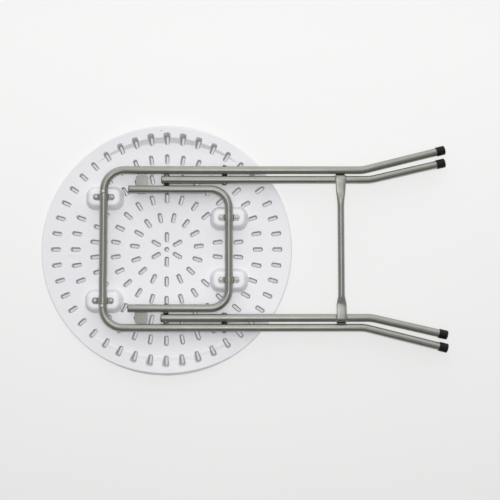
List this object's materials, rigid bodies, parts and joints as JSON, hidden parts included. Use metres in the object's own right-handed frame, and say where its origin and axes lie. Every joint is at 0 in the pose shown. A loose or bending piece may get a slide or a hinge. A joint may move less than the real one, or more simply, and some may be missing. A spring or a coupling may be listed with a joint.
{
  "type": "folding table",
  "caption": "Round folding table with a slotted plastic top and scissor legs of bent steel tube, folded flat and lying face down.",
  "frame": {"origin": "centre of the tabletop's upper face, which lies on the floor when the table is folded", "axes": "+X towards the folded feet, +Y along the crossbars to the table's left, +Z out of the tabletop's underside"},
  "size_m": [0.9661, 0.6, 0.0598],
  "materials": {
    "white_plastic": "satin moulded",
    "grey_paint": "semi-gloss powder coat",
    "black_plastic": "satin",
    "zinc": "bright zinc"
  },
  "bodies": {
    "tabletop": {"tabletop": "white_plastic", "outer_clip_screws": "zinc", "link_clip_screws": "zinc", "outer_clip_left": "grey_paint", "outer_clip_right": "grey_paint", "link_clip_left": "grey_paint", "link_clip_right": "grey_paint"},
    "outer_legs": {"outer_leg_frame": "grey_paint", "outer_stop_rivets": "zinc", "outer_foot_left": "black_plastic", "outer_foot_right": "black_plastic"},
    "inner_legs": {"cross_brace": "grey_paint", "inner_leg_left": "grey_paint", "inner_leg_right": "grey_paint", "inner_foot_left": "black_plastic", "inner_foot_right": "black_plastic", "inner_leg_plug_left": "black_plastic", "inner_leg_plug_right": "black_plastic", "leg_bumper_left": "black_plastic", "leg_bumper_right": "black_plastic", "scissor_rivet_left": "zinc", "scissor_rivet_right": "zinc", "scissor_washer_left": "black_plastic", "scissor_washer_right": "black_plastic", "toggle_rivet_left": "zinc", "toggle_rivet_right": "zinc", "toggle_washer_left": "black_plastic", "toggle_washer_right": "black_plastic"},
    "link": {"link_frame": "grey_paint", "stop_plate_left": "grey_paint", "stop_plate_right": "grey_paint", "link_plug_left": "black_plastic", "link_plug_right": "black_plastic", "toggle_rivet_end_left": "zinc", "toggle_rivet_end_right": "zinc"}
  },
  "joints": [
    {"name": "outer_leg_fold", "type": "hinge", "parent": "tabletop", "child": "outer_legs", "pos_m": [-0.148, 0, 0.042], "axis": [0, -1, 0], "range_deg": [0, 58.55]},
    {"name": "scissor_pivot", "type": "hinge", "parent": "outer_legs", "child": "inner_legs", "pos_m": [0.1385, 0, 0.042], "axis": [0, -1, 0], "range_deg": [0, 62.57]},
    {"name": "link_fold", "type": "hinge", "parent": "tabletop", "child": "link", "pos_m": [0.149, 0, 0.042], "axis": [0, 1, 0], "range_deg": [0, 58.89]}
  ],
  "couplings": [
    {"joint": "scissor_pivot", "follows": "outer_leg_fold", "ratio": 1.0684},
    {"joint": "link_fold", "follows": "outer_leg_fold", "ratio": 1.0056}
  ]
}
